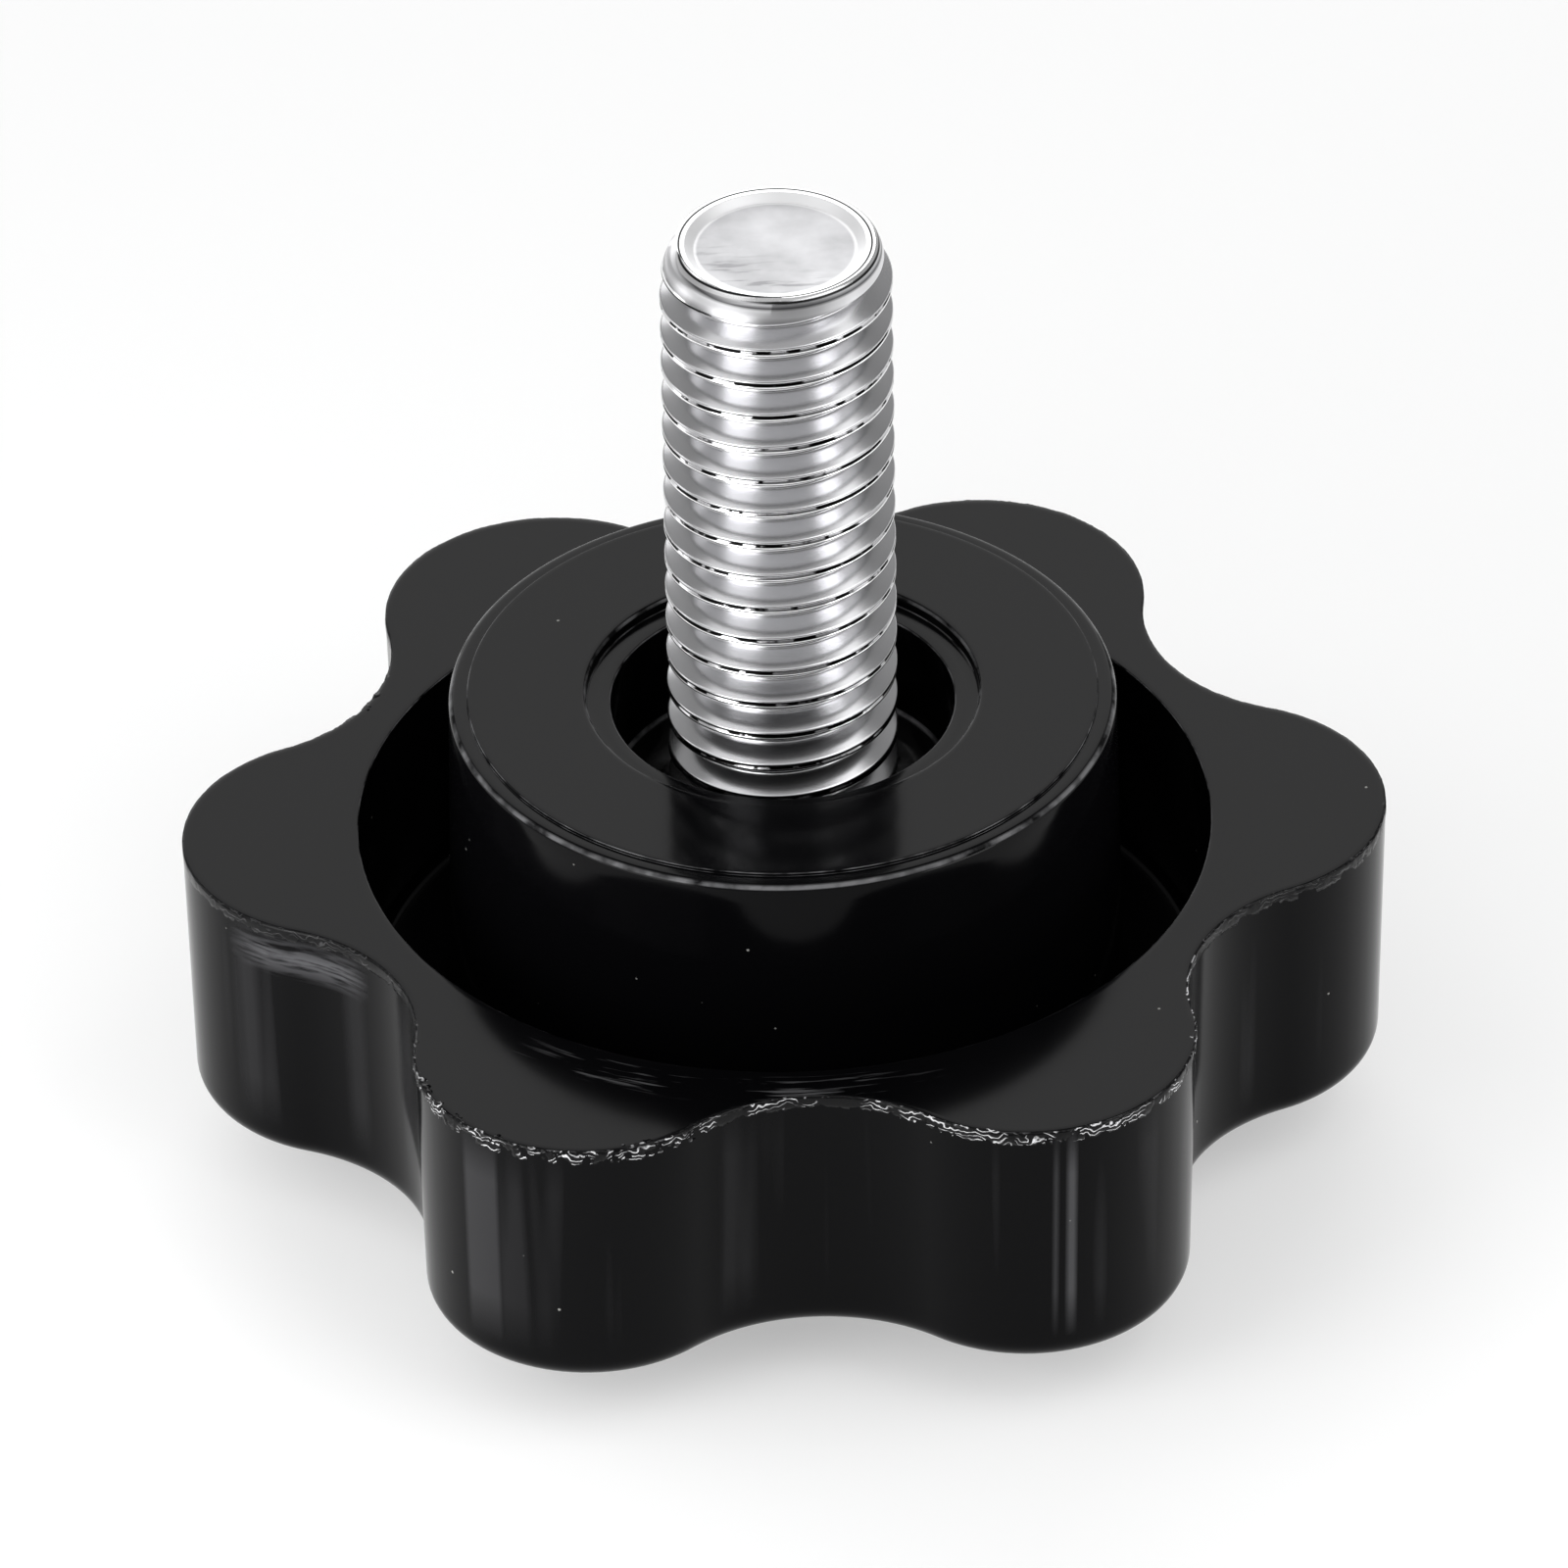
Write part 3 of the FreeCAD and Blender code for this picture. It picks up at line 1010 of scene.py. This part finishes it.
colour = layered(
    tree, thread_colour.outputs["Color"],
    (nicks, "#e2e2e4"),
    (on_chamfer, chamfer_colour),
    (on_rim, rim_colour),
)
tree.links.new(colour, shader.inputs["Base Color"])
lips = band(tree, phase, 1.27 / PITCH, 1.53 / PITCH, soft=0.02)
gloss = node(tree, "ShaderNodeMapRange", {0: lips, 3: FLANK_ROUGHNESS, 4: LIP_ROUGHNESS})
dull = overlap(tree, band(tree, above, 0.0, 0.86 * MM, soft=0.05 * MM), CHAMFER_ROUGHNESS)
gloss = node(tree, "ShaderNodeMath", {0: gloss, 1: dull}, operation="MAXIMUM").outputs[0]
tree.links.new(gloss, shader.inputs["Roughness"])
shader.inputs["Metallic"].default_value = 1.0
print("plated steel:", len(tree.nodes), "nodes")

# %% [markdown]
# The stud's free end was sheared, not rolled: it is a little rougher than the thread, paler
# and mottled, with scratches that cross it at the front left. Its rounded border is
# almost white. The faces that take this material are found by their place.

# %% Sheared end of the stud
MOTTLE_TONES = [(0.35, "#aeaeb0"), (0.65, "#c8c8ca")]
BORDER = 1.0  # mm in from the stud's end radius

sheared, tree, shader = material("sheared_steel_end")
at = whereabouts(tree)
mottle = node(tree, "ShaderNodeTexNoise", {"Vector": at.place, "Scale": scale_of(2.6), "Detail": 6.0})
mottle = tones_along(tree, mottle, 1.0, MOTTLE_TONES)
crossing = node(tree, "ShaderNodeMapping", {0: at.place, 2: (0, 0, math.radians(35)), 3: (0.14, 1, 1)})
crossing = node(tree, "ShaderNodeTexNoise", {"Vector": crossing, "Scale": scale_of(0.28), "Detail": 3.0})
front_left = node(tree, "ShaderNodeVectorMath", {0: at.place, 1: (-0.5, -0.86, 0)}, operation="DOT_PRODUCT")
at_front_left = band(tree, front_left.outputs["Value"], 1.2 * MM, soft=0.8 * MM)
crossing = overlap(tree, band(tree, crossing, 0.58, soft=0.05), at_front_left, 0.5)
border = overlap(tree, band(tree, at.radius, (END_RADIUS - BORDER) * MM, soft=0.08 * MM), 0.9)
colour = layered(tree, mottle.outputs["Color"], (crossing, "#6e6e70"), (border, "#fbfbfc"))
tree.links.new(colour, shader.inputs["Base Color"])
shader.inputs["Metallic"].default_value = 1.0
shader.inputs["Roughness"].default_value = 0.48

wear(stud, steel, sheared)
for face in stud.data.polygons:
    radius, height = radius_and_height(face.center)
    if height > STUD_END_Z - 0.4 and radius < END_RADIUS - 0.45:
        face.material_index = 1
print("faces of the sheared end", sum(face.material_index for face in stud.data.polygons))

# %% [markdown]
# The knob stands on white paper. Paper that only the lamps light would look grey, and more
# light would bleach the knob, so the paper glows a little, but only for rays that come from
# the camera or from a mirror. It lights nothing by that, and the knob's shadow stays on it.

# %% Floor
GLOW = 0.4

bpy.ops.object.select_all(action="DESELECT")
bpy.ops.mesh.primitive_plane_add(size=6)
floor = bpy.context.object
floor.name = "floor"
paper, tree, shader = material("white_paper_floor")
shader.inputs["Base Color"].default_value = linear("#fafafa")
shader.inputs["Roughness"].default_value = 0.9
shader.inputs["Specular IOR Level"].default_value = 0.1
rays = node(tree, "ShaderNodeLightPath").outputs
seen = node(tree, "ShaderNodeMath", {0: rays["Is Camera Ray"], 1: rays["Is Glossy Ray"]}, operation="MAXIMUM")
seen = node(tree, "ShaderNodeMath", {0: seen, 1: rays["Is Transmission Ray"]}, operation="MAXIMUM")
white = node(tree, "ShaderNodeEmission", {"Strength": 1.0})
lit = node(tree, "ShaderNodeMixShader", {0: overlap(tree, seen, GLOW), 1: shader, 2: white}).outputs[0]
tree.links.new(lit, tree.nodes["Material Output"].inputs["Surface"])
wear(floor, paper)
print("floor of", round(floor.dimensions.x, 2), "m")

# %% [markdown]
# Light. Most of it is large and far: a dim room, a wide softbox over the front, one at each
# side and a strip over the back that the stud's end and the rim face mirror. Four small
# panels stand low, just outside the picture. They are what the thread's flanks mirror, as
# upright soft stripes, because a flank sends the eye down towards the floor.

# %% Lamps
LAMP_CENTRE = Vector((0, 0, 0.02))
LAMPS = [  # name, azimuth and elevation in degrees, distance, width and height in metres, brightness
    ("softbox_front", 270, 51, 1.2, 2.6, 0.9, 0.68),
    ("softbox_right", 335, 48, 1.2, 0.95, 0.95, 1.8),
    ("fill_right", 345, 12, 1.2, 1.1, 0.45, 0.42),
    ("softbox_left", 190, 48, 1.2, 0.95, 0.95, 1.05),
    ("fill_left", 190, 12, 1.2, 0.9, 0.45, 0.36),
    ("softbox_back", 90, 27, 1.2, 1.1, 1.05, 1.8),
    ("panel_left", 223, 9, 0.086, 0.054, 0.064, 4.3),
    ("panel_right", 321, -6, 0.086, 0.036, 0.020, 5.6),
    ("panel_right_side", 345, 1, 0.086, 0.024, 0.040, 0.9),
    ("panel_far_left", 165, 16, 0.088, 0.024, 0.046, 1.6),
]


def softbox(name, azimuth, elevation, distance, width, tall, brightness):
    """A lit panel that faces the knob. A brightness of 1 looks white."""
    turn, lift = math.radians(azimuth), math.radians(elevation)
    towards = Vector((math.cos(turn) * math.cos(lift), math.sin(turn) * math.cos(lift), math.sin(lift)))
    bpy.ops.object.light_add(type="AREA", location=towards * distance + LAMP_CENTRE)
    lamp = bpy.context.object
    lamp.name = name
    lamp.data.shape = "RECTANGLE"
    lamp.data.size, lamp.data.size_y = width, tall
    lamp.data.energy = brightness * math.pi * width * tall
    lamp.rotation_mode = "QUATERNION"
    lamp.rotation_quaternion = (-towards).to_track_quat("-Z", "Y")
    return lamp


lamps = [softbox(*lamp) for lamp in LAMPS]
print("lamps", len(lamps), "with", round(sum(lamp.data.energy for lamp in lamps), 2), "W in all")

# %% [markdown]
# The room itself is the world: dim all round, lighter behind the knob, which its level faces
# mirror, and lighter again straight above, which its rounded edges mirror. Both are worked
# out from the direction in which a ray leaves. The Standard view shows colours as they are
# written.

# %% World
ROOM, ROOM_BEHIND, ROOM_ABOVE = 0.1, 0.38, 0.45

world = bpy.data.worlds.new("studio")
bpy.context.scene.world = world
world.use_nodes = True
tree = world.node_tree
background = tree.nodes["Background"]
towards = node(tree, "ShaderNodeTexCoord").outputs["Generated"]
towards = node(tree, "ShaderNodeSeparateXYZ", {0: towards}).outputs
behind = node(tree, "ShaderNodeMapRange", {0: towards["Y"], 1: -0.1, 2: 0.6, 3: ROOM, 4: ROOM_BEHIND})
overhead = node(tree, "ShaderNodeMapRange", {0: towards["Z"], 1: 0.86, 2: 0.98, 3: 0.0, 4: ROOM_ABOVE})
level = node(tree, "ShaderNodeMath", {0: behind, 1: overhead}, operation="ADD").outputs[0]
tree.links.new(level, background.inputs["Strength"])
background.inputs["Color"].default_value = (1, 1, 1, 1)
bpy.context.scene.view_settings.view_transform = "Standard"
print("room brightness", ROOM, "in front,", ROOM_BEHIND, "behind,", ROOM_ABOVE, "more above")
